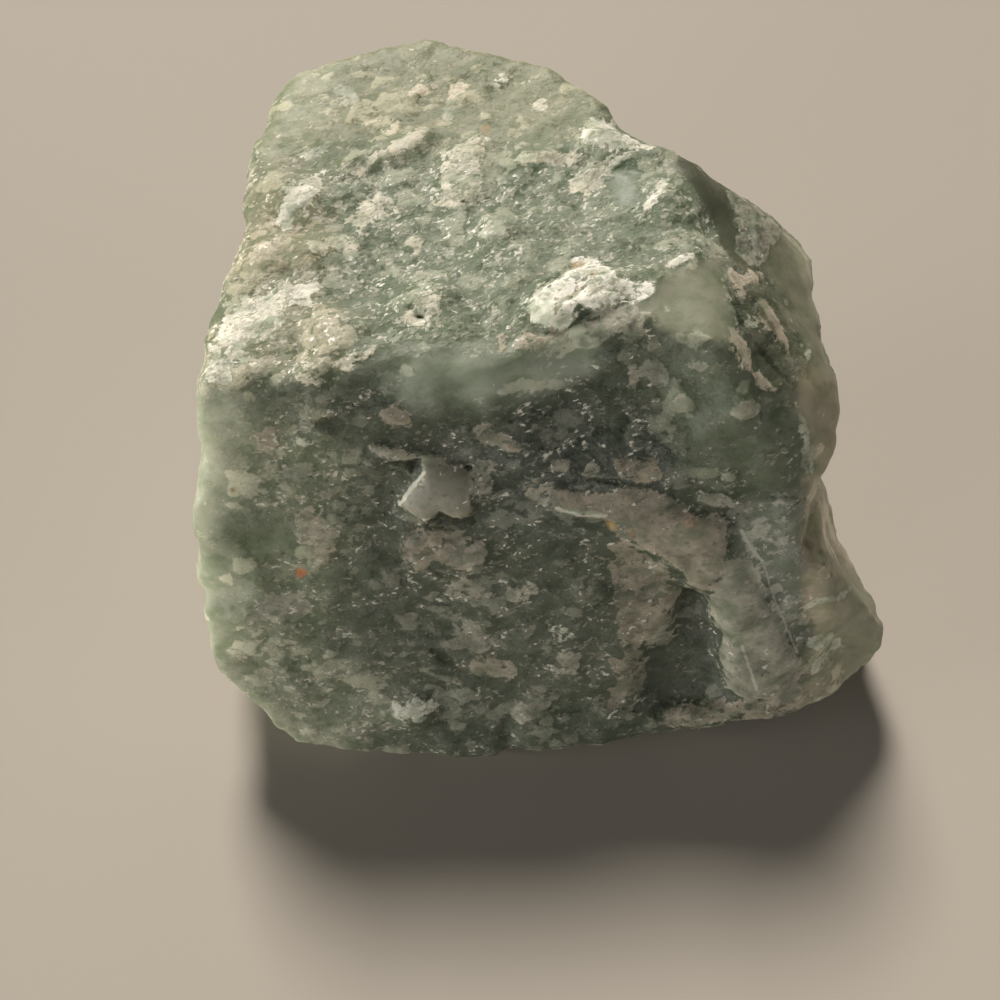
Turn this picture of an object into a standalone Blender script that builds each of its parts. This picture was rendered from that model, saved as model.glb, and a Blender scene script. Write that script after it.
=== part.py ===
"""Raw green aventurine: one broken chunk, resting on its flattest break. Metres, +Z up."""

import math

import bmesh
import bpy
from mathutils import Matrix, Vector, noise

MM = 0.001
NAME = "aventurine"
TRIANGLES = 9400
SKIN_VOXEL = 0.9 * MM
CORNER_SMOOTHING = 3

# The stone is one big chunk with two smaller ones grown on at its right. Each chunk is a box cut
# down by its breaks: azimuth and elevation of the outward normal in degrees (azimuth 0 is +X, -90
# the front), and a point that the break passes through, in millimetres.
BODY = {
    "top": (-112, 79, (15.2, -10.7, 44.2)),
    "front": (-90, 22, (0, -27.4, 3)),
    "left": (175, 6, (-29.5, -12, 41)),
    "left_low": (168, -15, (-32.8, 4, 18)),
    "back_left_corner": (148, 8, (-26.2, 19.8, 48)),
    "back_left": (112, 8, (-20, 24.6, 48.6)),
    "back": (76, 6, (-8, 25.6, 49.6)),
    "back_low": (98, -16, (0, 28.4, 24)),
    "back_left_low": (134, -8, (-22.5, 25, 20)),
    "back_notch": (42, 12, (5.9, 18.1, 48.8)),
    "back_right": (34, 22, (13.5, 11.5, 47)),
    "right_shoulder": (-1, 33, (14.5, 0, 45.3)),
    "right": (4, 6, (26.2, 0, 28)),
    "right_front": (-20, 8, (23.6, -17, 29)),
    "left_heel": (205, -24, (-30.5, -24.4, 10.6)),
    "left_sole": (176, -45, (-29, 0, 7)),
    "front_sole": (-67, -62, (10, -26.5, 4)),
    "left_front_sole": (-100, -70, (-15, -26.5, 2.5)),
    "right_sole": (0, -50, (27, 0, 8)),
    "back_sole": (95, -45, (0, 28, 8)),
}
SHOULDER = {
    "bench": (-10, 60, (19, 10, 43.6)),
    "outer": (8, 8, (25.5, 2, 37)),
    "outer_back": (50, 30, (23.6, 8.4, 40)),
    "back": (70, 10, (16, 10.8, 42)),
    "front": (-55, 15, (25, -3, 37)),
    "sole": (0, -40, (26, 0, 27)),
}
FOOT = {
    "slope": (6, 31, (32.5, -16.5, 16)),
    "tip": (-12, -6, (34.6, -19.5, 11.5)),
    "front": (-90, 22, (0, -26.9, 3)),
    "front_right": (-58, 14, (29.5, -22.5, 9)),
    "sole": (-45, -45, (31.2, -21.5, 5.2)),
    "back": (70, 5, (28, -3, 14)),
}
CHUNKS = {
    "body": ((0, 0, 25), (120, 120, 120), BODY),
    "shoulder": ((18.5, 3, 34), (20, 22, 20), SHOULDER),
    "foot": ((27, -14, 13), (20, 20, 20), FOOT),
}

# Round lobes that stand out of the chunks, and scars where a flake was struck off: centre, half
# sizes and turns about X, Y and Z, in millimetres and degrees.
LOBES = {
    "right_lobe": ((21.8, -6.5, 31.5), (6.4, 8, 9), (0, 0, 0)),
    "ridge_end": ((11, 7, 42.3), (6.2, 7.2, 5.8), (0, 0, 0)),
}
SCARS = {
    "ridge_scar": ((6.5, -18.5, 44), (15, 9.8, 13), (-15, 0, 0)),
}

# Where places on a break are measured from, as u and v in millimetres: the break's own point,
# with u along +X as it lies in the break, and v up or back along it.
BREAK_FACES = {
    "front": BODY["front"],
    "top": BODY["top"],
    "left": BODY["left"],
    "bench": SHOULDER["bench"],
    "right_shoulder": BODY["right_shoulder"],
}

# Layers of stone that stand proud of a break, or are missing from it: outline in u and v, height,
# the width of the edge, and the v where the height begins and where it is full, all in millimetres.
STAR_FLAKE = [(-10.6, 34), (-9.5, 34), (-8.1, 33), (-6.7, 32.6), (-5.9, 30.7), (-6.7, 29.8), (-6.3, 28.4),
              (-7.2, 27.5), (-9.3, 28.2), (-10.8, 27.1), (-12.8, 29), (-11.8, 30.5), (-10.7, 31.3)]
PALE_LAYER = [(0.3, 30.5), (4.3, 29.7), (9.7, 30.6), (13.5, 27.8), (16.4, 28.1), (18.5, 23.5), (21.6, 18.5),
              (25.1, 12), (26.1, 6.4), (19.9, 6.4), (18, 9.9), (18, 13.9), (16.9, 15.7), (15.8, 18.7),
              (14, 20.2), (11.8, 22.6), (8.9, 24.6), (6.4, 27.3), (1.7, 28.2)]
DARK_PIT = [(14, 20.2), (15.8, 18.7), (16.9, 15.7), (18, 13.9), (17.2, 12.9), (18, 9.9), (19.9, 6.4),
            (12.2, 4.8), (10.1, 7.7), (10.3, 13.3), (12.6, 13.8), (13.1, 19.4)]
LOWER_LEDGE = [(-2, 6.4), (4, 5.2), (12.2, 4.6), (19.9, 6.2), (27, 6.2), (27, 0), (-2, 0)]
LAYERS = [
    ("front", STAR_FLAKE, 1.4, 0.7, 35, 30),
    ("front", PALE_LAYER, 1.3, 1.2, 32, 25),
    ("front", DARK_PIT, -1.5, 1.2, 20.5, 19),
    ("front", LOWER_LEDGE, 0.9, 1.4, 6.5, 5),
]

# Single grains and flakes: break, place in u and v, half length and half width, turn in degrees
# and height.
FLAKES = [
    ("front", (-13.7, 34.3), (2, 0.9), 8, 0.5),
    ("front", (-20.4, 25.7), (3.2, 2.4), 20, 0.5),
    ("front", (-8.9, 23.5), (4.6, 2.6), -10, 0.6),
    ("front", (-12.2, 5), (2.6, 2), 10, 0.9),
    ("front", (12, 39.2), (1.4, 1.3), 0, 0.35),
    ("front", (17.5, 38.5), (2, 1.5), 10, 0.4),
    ("front", (19.9, 34), (1.6, 2.4), -20, 0.4),
    ("top", (-12.5, 5.9), (4.8, 2.1), 18, 1.1),
    ("top", (-6.6, 6.6), (2.6, 1.6), -20, 0.8),
    ("top", (-22.5, 20.6), (2.4, 3.4), 20, 0.8),
    ("top", (-19.1, 13.4), (2, 1.9), 30, 0.7),
    ("top", (-29.3, 23.5), (6, 1.4), 24, 0.6),
    ("top", (-38.2, 18.8), (2.6, 3), 10, 0.7),
    ("top", (-38.5, 11.9), (3.8, 1.9), 8, 0.7),
    ("top", (-33.3, 2.7), (2.6, 2.4), 20, 0.8),
    ("top", (-35.3, -1.1), (2.4, 1.4), 25, 0.7),
    ("top", (-26, 5.8), (3.2, 1.7), 22, 0.8),
    ("top", (-7.6, 22.8), (4.4, 1.9), -8, 1),
    ("top", (-15.1, 21.8), (3.2, 0.9), 15, 0.6),
    ("bench", (-1.2, -11), (1.2, 4), 25, 1),
    ("bench", (1.6, -14.8), (1.2, 4.4), 25, 1.1),
    ("bench", (1.4, -4), (3, 5), 15, 0.9),
    ("right_shoulder", (5.7, -7.6), (1.3, 3.6), 25, 0.9),
]

# The stone's grain: sheets that lie across this direction. They show as ledges on the breaks.
SHEET_NORMAL = Vector((0.07, -0.5, 0.84)).normalized()
SHEET_LENGTH = 15
SHEET_THICKNESS = 4.5
LEDGE_HEIGHT = 0.8
# How strong the ledges are on the smoother breaks, against 1 on the rest.
QUIET = {"front": 0.25, "top": 0.35, "left": 0.45, "bench": 0.35, "right_shoulder": 0.5}
SWELL_LENGTH = 19
SWELL_HEIGHT = 0.55
LUMP_LENGTH = 4.2
LUMP_HEIGHT = 0.35
# The relief fades out over this height, so that the stone keeps its flat resting break.
BASE_FADE = 2.5
BASE_CUT = 0.08 * MM

STONE_GREEN = (0.25, 0.33, 0.25, 1)
STONE_ROUGHNESS = 0.5


def normal_of(azimuth, elevation):
    """Unit vector at that azimuth and elevation, both in degrees."""
    a, e = math.radians(azimuth), math.radians(elevation)
    return Vector((math.cos(a) * math.cos(e), math.sin(a) * math.cos(e), math.sin(e)))


def smoothstep(low, high, value):
    t = min(max((value - low) / (high - low), 0), 1)
    return t * t * (3 - 2 * t)


def cut(bm, point, normal):
    """Breaks off everything beyond a plane and closes the wound."""
    geometry = bm.verts[:] + bm.edges[:] + bm.faces[:]
    made = bmesh.ops.bisect_plane(bm, geom=geometry, plane_co=point, plane_no=normal, clear_outer=True)
    edges = [e for e in made["geom_cut"] if isinstance(e, bmesh.types.BMEdge)]
    if edges:
        bmesh.ops.contextual_create(bm, geom=edges)


def object_from(name, bm, collection):
    mesh = bpy.data.meshes.new(name)
    bm.to_mesh(mesh)
    bm.free()
    obj = bpy.data.objects.new(name, mesh)
    collection.objects.link(obj)
    return obj


def chunk(name, collection):
    """A box with its breaks cut, and the floor below it."""
    middle, size, breaks = CHUNKS[name]
    bm = bmesh.new()
    bmesh.ops.create_cube(bm, size=1)
    bmesh.ops.scale(bm, verts=bm.verts, vec=Vector(size) * MM)
    bmesh.ops.translate(bm, verts=bm.verts, vec=Vector(middle) * MM)
    for azimuth, elevation, point in breaks.values():
        cut(bm, Vector(point) * MM, normal_of(azimuth, elevation))
    cut(bm, Vector((0, 0, 0)), Vector((0, 0, -1)))
    return object_from(name, bm, collection)


def ellipsoid(name, centre, radii, turns, collection):
    bm = bmesh.new()
    bmesh.ops.create_icosphere(bm, subdivisions=3, radius=1)
    bmesh.ops.scale(bm, verts=bm.verts, vec=Vector(radii) * MM)
    for axis, turn in zip("XYZ", turns):
        bmesh.ops.rotate(bm, verts=bm.verts, matrix=Matrix.Rotation(math.radians(turn), 3, axis))
    bmesh.ops.translate(bm, verts=bm.verts, vec=Vector(centre) * MM)
    return object_from(name, bm, collection)


def boolean(stone, other, operation):
    """Joins or cuts with another object, which is then only a guide."""
    other.hide_render = True
    other.display_type = "WIRE"
    modifier = stone.modifiers.new(other.name, "BOOLEAN")
    modifier.solver = "EXACT"
    modifier.operation = operation
    modifier.object = other


def apply_modifiers(stone):
    evaluated = stone.evaluated_get(bpy.context.evaluated_depsgraph_get())
    mesh = bpy.data.meshes.new_from_object(evaluated)
    old = stone.data
    stone.modifiers.clear()
    stone.data = mesh
    bpy.data.meshes.remove(old)


def rough_stone(parts, cutters):
    """The chunks and lobes in one skin, with the scars cut and the corners worn."""
    stone = chunk("body", parts)
    stone.name = NAME
    for name in ("shoulder", "foot"):
        boolean(stone, chunk(name, cutters), "UNION")
    for name, (centre, radii, turns) in LOBES.items():
        boolean(stone, ellipsoid(name, centre, radii, turns, cutters), "UNION")
    for name, (centre, radii, turns) in SCARS.items():
        boolean(stone, ellipsoid(name, centre, radii, turns, cutters), "DIFFERENCE")
    skin = stone.modifiers.new("skin", "REMESH")
    skin.mode = "VOXEL"
    skin.voxel_size = SKIN_VOXEL
    worn = stone.modifiers.new("worn_corners", "SMOOTH")
    worn.factor = 0.5
    worn.iterations = CORNER_SMOOTHING
    apply_modifiers(stone)
    return stone


class BreakFace:
    """A break with places on it in u and v, all in millimetres."""

    def __init__(self, azimuth, elevation, point):
        self.normal = normal_of(azimuth, elevation)
        self.origin = Vector(point)
        along_x = Vector((1, 0, 0))
        self.u = (along_x - self.normal * self.normal.x).normalized()
        self.v = self.normal.cross(self.u)

    def place(self, point):
        offset = point - self.origin
        return offset.dot(self.u), offset.dot(self.v)

    def share(self, point, normal):
        """1 where the surface lies in this break, down to 0 where it turns away from it."""
        off_plane = abs((point - self.origin).dot(self.normal))
        turned = smoothstep(0.6, 0.85, normal.dot(self.normal))
        return turned * (1 - smoothstep(3.5, 5.5, off_plane))


def inside_by(u, v, outline):
    """Distance from the outline's edge: positive inside it, negative outside."""
    nearest = math.inf
    inside = False
    for (u0, v0), (u1, v1) in zip(outline, outline[1:] + outline[:1]):
        along_u, along_v = u1 - u0, v1 - v0
        t = ((u - u0) * along_u + (v - v0) * along_v) / (along_u ** 2 + along_v ** 2)
        t = min(max(t, 0), 1)
        nearest = min(nearest, math.hypot(u - u0 - t * along_u, v - v0 - t * along_v))
        if (v0 > v) != (v1 > v) and u < u0 + (v - v0) * along_u / along_v:
            inside = not inside
    return nearest if inside else -nearest


def flake_height(u, v, centre, radii, turn, height):
    """A flat-topped oval that rounds off at its rim."""
    a = math.radians(turn)
    du, dv = u - centre[0], v - centre[1]
    along = (du * math.cos(a) + dv * math.sin(a)) / radii[0]
    across = (dv * math.cos(a) - du * math.sin(a)) / radii[1]
    return height * (1 - smoothstep(0.65, 1.25, math.hypot(along, across)))


def sheeted(point, seed):
    """The point stretched along the stone's sheets, for noise that follows them."""
    across = point.dot(SHEET_NORMAL)
    along = point - SHEET_NORMAL * across
    return along / SHEET_LENGTH + SHEET_NORMAL * (across / SHEET_THICKNESS) + Vector((seed, 0, 0))


def ledges(point):
    """Steps from sheet to sheet: noise cut into levels with short steep risers."""
    level = noise.noise(sheeted(point, 3)) * 2.6 + 0.5
    whole = math.floor(level)
    return LEDGE_HEIGHT * (whole + smoothstep(0.35, 0.65, level - whole))


def relief(point, normal, faces):
    """Height in millimetres that the surface stands above the plain breaks."""
    swell = SWELL_HEIGHT * noise.noise(point / SWELL_LENGTH + Vector((0, 7, 0)))
    lumps = LUMP_HEIGHT * noise.fractal(point / LUMP_LENGTH, 1, 2, 3)
    shares = {name: face.share(point, normal) for name, face in faces.items()}
    strength = math.prod(1 - (1 - level) * shares[name] for name, level in QUIET.items())
    height = swell + lumps + ledges(point) * strength
    for name, outline, step, edge, v_begin, v_full in LAYERS:
        if shares[name] > 0:
            u, v = faces[name].place(point)
            step *= smoothstep(0, 1, (v_begin - v) / (v_begin - v_full))
            height += step * smoothstep(-edge / 2, edge / 2, inside_by(u, v, outline)) * shares[name]
    for name, centre, radii, turn, step in FLAKES:
        if shares[name] > 0:
            u, v = faces[name].place(point)
            height += flake_height(u, v, centre, radii, turn, step) * shares[name]
    return height * smoothstep(0, BASE_FADE, point.z)


def add_relief(stone):
    faces = {name: BreakFace(*place) for name, place in BREAK_FACES.items()}
    mesh = stone.data
    normals = [v.normal.copy() for v in mesh.vertices]
    for vertex, normal in zip(mesh.vertices, normals):
        vertex.co += normal * relief(vertex.co / MM, normal, faces) * MM
    mesh.update()


def facet(stone):
    """Brings the skin down to flat facets, large where it is plain and small where it is rough."""
    thin = stone.modifiers.new("facets", "DECIMATE")
    thin.ratio = TRIANGLES / (2 * len(stone.data.polygons))
    thin.use_collapse_triangulate = True
    apply_modifiers(stone)


def flatten_base(stone):
    """Cuts the resting break truly flat, and sets the origin under the middle of the stone."""
    bm = bmesh.new()
    bm.from_mesh(stone.data)
    cut(bm, Vector((0, 0, BASE_CUT)), Vector((0, 0, -1)))
    bmesh.ops.triangulate(bm, faces=bm.faces)
    low = Vector(min(v.co[i] for v in bm.verts) for i in range(3))
    high = Vector(max(v.co[i] for v in bm.verts) for i in range(3))
    middle = (low + high) / 2
    bmesh.ops.translate(bm, verts=bm.verts, vec=(-middle.x, -middle.y, -low.z))
    bm.to_mesh(stone.data)
    bm.free()


def stone_material():
    material = bpy.data.materials.new("green_aventurine")
    material.use_nodes = True
    shader = material.node_tree.nodes["Principled BSDF"]
    shader.inputs["Base Color"].default_value = STONE_GREEN
    shader.inputs["Roughness"].default_value = STONE_ROUGHNESS
    shader.inputs["Metallic"].default_value = 0
    return material


def new_collection(name):
    collection = bpy.data.collections.new(name)
    bpy.context.scene.collection.children.link(collection)
    return collection


def main():
    for obj in list(bpy.data.objects):
        bpy.data.objects.remove(obj)
    stone = rough_stone(new_collection("raw_aventurine"), new_collection("cutters"))
    add_relief(stone)
    facet(stone)
    flatten_base(stone)
    stone.data.materials.append(stone_material())


main()
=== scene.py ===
"""Raw green aventurine on a plain pale floor: the looks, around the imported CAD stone."""

import math

import bmesh
import bpy
import numpy as np
from mathutils import Matrix, Vector, noise


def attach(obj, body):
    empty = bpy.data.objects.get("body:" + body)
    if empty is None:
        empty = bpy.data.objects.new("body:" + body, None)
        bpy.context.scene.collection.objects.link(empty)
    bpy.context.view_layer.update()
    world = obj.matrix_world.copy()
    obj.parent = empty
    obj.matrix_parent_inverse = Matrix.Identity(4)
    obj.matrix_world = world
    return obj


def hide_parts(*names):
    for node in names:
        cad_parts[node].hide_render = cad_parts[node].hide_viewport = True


MM = 0.001
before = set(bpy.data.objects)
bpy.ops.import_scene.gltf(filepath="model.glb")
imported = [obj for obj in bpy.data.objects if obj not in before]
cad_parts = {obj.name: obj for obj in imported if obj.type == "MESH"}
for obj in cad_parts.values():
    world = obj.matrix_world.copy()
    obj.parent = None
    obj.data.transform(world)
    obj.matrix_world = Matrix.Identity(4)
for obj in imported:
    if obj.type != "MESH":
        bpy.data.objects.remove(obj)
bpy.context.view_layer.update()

# The photo's side in pixels, and the camera that its perspective gives, in the CAD's frame: its
# sensor and lens in millimetres, its place, and how many degrees down it looks.
PHOTO_SIZE = 1000
SENSOR = 36
LENS = 45
CAMERA_PLACE = Vector((-5.62, -86.47, 119.02)) * MM
CAMERA_PITCH = 52

# The same camera for the arrays of places in millimetres: where it is, the directions to its right,
# ahead of it and up its picture, and how many pixels wide a thing shows that is as wide as it is far.
EYE = np.array(CAMERA_PLACE) / MM
TILT = math.radians(CAMERA_PITCH)
RIGHT = np.array((1, 0, 0))
AHEAD = np.array((0, math.cos(TILT), -math.sin(TILT)))
UP = np.array((0, math.sin(TILT), math.cos(TILT)))
FOCAL_PX = PHOTO_SIZE * LENS / SENSOR

# The floor's colour and roughness, the colour and strength of the light from all around, and the far
# soft lights: which way each one lies, how many degrees wide it looks, its strength and its colour.
FLOOR = (0.445, 0.405, 0.36, 1)
FLOOR_ROUGHNESS = 0.8
ROOM = (0.93, 0.93, 0.9, 1)
ROOM_STRENGTH = 0.02
LIGHTS = {
    "window": ((-0.166, 0.621, 0.766), 16, 3.75, (1.0, 0.93, 0.83)),
    "room_fill": ((-0.65, -1, 0.03), 26, 1.32, (1.0, 0.98, 0.92)),
    "west_fill": ((-1, -0.25, 0.02), 30, 3.3, (1.0, 0.98, 0.9)),
    "east_fill": ((1, -0.5, 0.1), 30, 0.75, (1.0, 0.97, 0.9)),
}

# The stone's mesh: how fine it is while it is shaped, how far the CAD's facets are smoothed away,
# and its triangles once thinned.
SKIN_VOXEL = 0.32 * MM
SMOOTHING = 5
TRIANGLES = 196000

# Without a seed of its own, the noise that gives vectors is another one on each run.
NOISE_SEED = 3
noise.seed_set(NOISE_SEED)

# The stone's grain: it parts in sheets across one direction, and its grains are drawn out along
# a line in those sheets.
SHEET_NORMAL = Vector((0.07, -0.5, 0.84)).normalized()
GRAIN_LINE = Vector((0.9, 0.4, 0.163)).normalized()
GRAIN_SIDE = SHEET_NORMAL.cross(GRAIN_LINE)
GRAIN_AXES = Matrix((GRAIN_LINE, GRAIN_SIDE, SHEET_NORMAL)).transposed()
GRAIN_STRETCH = Vector((1.5, 1.1, 0.85))

# Chance patterns: their size in millimetres, before the stretch where they follow the grain, the
# seed that sets them apart, and how many layers they have, each finer than the one before.
PATTERNS = {
    "drift": (11, 31, 3),
    "flecks": (8, 57, 2),
    "calm": (9, 83, 2),
    "wander_x": (4, 5, 3),
    "wander_y": (4, 17, 3),
    "tear": (1.3, 0, 4),
    "hidden_tone": (7, 71, 2),
    "hidden_patch": (5.5, 41, 3),
    "crowding": (5, 29, 2),
    "crumbs": (0.75, 5, 3),
    "ledges": (3.4, 11, 2),
}

# Relief of broken grains: size in millimetres before the stretch, the height of their steps, how
# much each face tilts, and their seed. Then the heights of the crumbs and ledges, and how much of
# all this relief is gone on the smoothest faces.
FACETS = [(2.2, 0.07, 0.09, 0.0), (1.0, 0.04, 0.06, 3.7)]
CRUMB_HEIGHT = 0.06
LEDGE_HEIGHT = 0.09
CALMING = 0.85

# Pale flakes all over, which follow the grain: their size in millimetres before the stretch, how
# far they stand out, and their seed. Then how often and how far their outlines wander, their share
# where flecks are thickest and how much it varies, how fast they end where the flecks do, and the
# millimetres that their edge rises over.
FLAKES = [(1.7, 0.1, 60.0), (0.9, 0.07, 67.3)]
FLAKE_WARPS = [(1.3, 0.38), (3.5, 0.14)]
FLAKE_COVER = 0.2
FLAKE_CROWDING = 0.4
FLAKE_END = 5.0
FLAKE_EDGE = 0.25

# The colour's finer patterns, as turns or cells in each millimetre of the grain, and how many
# millimetres the crumbs and chips are shifted.
BROAD = 0.5
MIDDLE = 1.4
FINE = 4.0
SHIFT = 2.2
CRUMBS = 1.7
CHIPS = 4.2
CRUMB_SHIFT = 0.8
CHIP_SHIFT = 0.3

# What tones are multiplied by: the body's in four looks, deep and light also painting shade and light
# over its relief, a patch's in three, shaded and lit painting shade and light, and all in hollows, as
# painted shade.
DEEP = (0.66, 0.74, 0.62)
LIGHT = (1.38, 1.36, 1.4)
CLOUDED = (1.6, 1.52, 1.5)
BRIGHT = (2.2, 2.0, 2.1)
SHADED = (0.6, 0.64, 0.58)
LIT = (1.36, 1.34, 1.32)
GREENER = (0.86, 0.96, 0.86)
HOLLOW_SHADE = (0.4, 0.43, 0.36)

# On rough grain and on smooth faces: the shader's roughness, how far chips and crumbs tilt its
# normal, and the strength of its bumps. Then the bumps' height.
ROUGHNESS = (0.6, 0.5)
CHIP_TILT = (0.2, 0.03)
CRUMB_TILT = (0.4, 0.06)
BUMPS = (0.6, 0.08)
BUMP_HEIGHT = 0.165 * MM

# The light inside the stone: its share, how far red, green and blue go, and the scale of that.
GLOW = 0.36
GLOW_REACH = (1.0, 1.0, 0.8)
GLOW_SCALE = 0.004


def oval(x, y, half_length, half_width, turn=0):
    """An oval outline in the photo's pixels, turned anticlockwise in degrees."""
    turn = math.radians(turn)
    outline = []
    for step in range(16):
        angle = math.tau * step / 16
        u = half_length * math.cos(angle)
        v = half_width * math.sin(angle)
        outline.append((x + u * math.cos(turn) + v * math.sin(turn),
                        y - u * math.sin(turn) + v * math.cos(turn)))
    return outline


def streak(x0, y0, x1, y1, half_width):
    """An oval that runs from one point to another."""
    length = math.hypot(x1 - x0, y1 - y0)
    turn = math.degrees(math.atan2(y0 - y1, x1 - x0))
    return oval((x0 + x1) / 2, (y0 + y1) / 2, length / 2, half_width, turn)


# Tones of the stone.
WHITE = (0.7, 0.69, 0.61)
CREAM = (0.575, 0.555, 0.46)
BEIGE = (0.48, 0.445, 0.345)
PALE = (0.41, 0.42, 0.345)
GREY = (0.285, 0.278, 0.228)
PINK = (0.285, 0.258, 0.205)
BROWN = (0.25, 0.225, 0.175)
SOOT = (0.085, 0.095, 0.065)
RUST = (0.5, 0.17, 0.05)
AMBER = (0.34, 0.24, 0.1)
WARM = (0.6, 0.55, 0.43)
SAND = (0.4, 0.36, 0.285)

# The sides that the photo doesn't show: the body's deep, mean and pale tones, how large the patches
# there get, how far apart they are, and how many millimetres they stand out.
HIDDEN_TONES = ((0.115, 0.135, 0.095), (0.2, 0.22, 0.16), (0.32, 0.34, 0.25))
HIDDEN_SPREAD = 45
HIDDEN_GAP = 17
HIDDEN_LIFT = 0.15

# In the photo's pixels: how far the zones' edges wander, how deep the patches' edges are torn, and
# how far past its outline a mark is still worked out.
ZONE_WANDER = 12
TEAR_DEPTH = 9
REACH = 30.0

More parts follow.
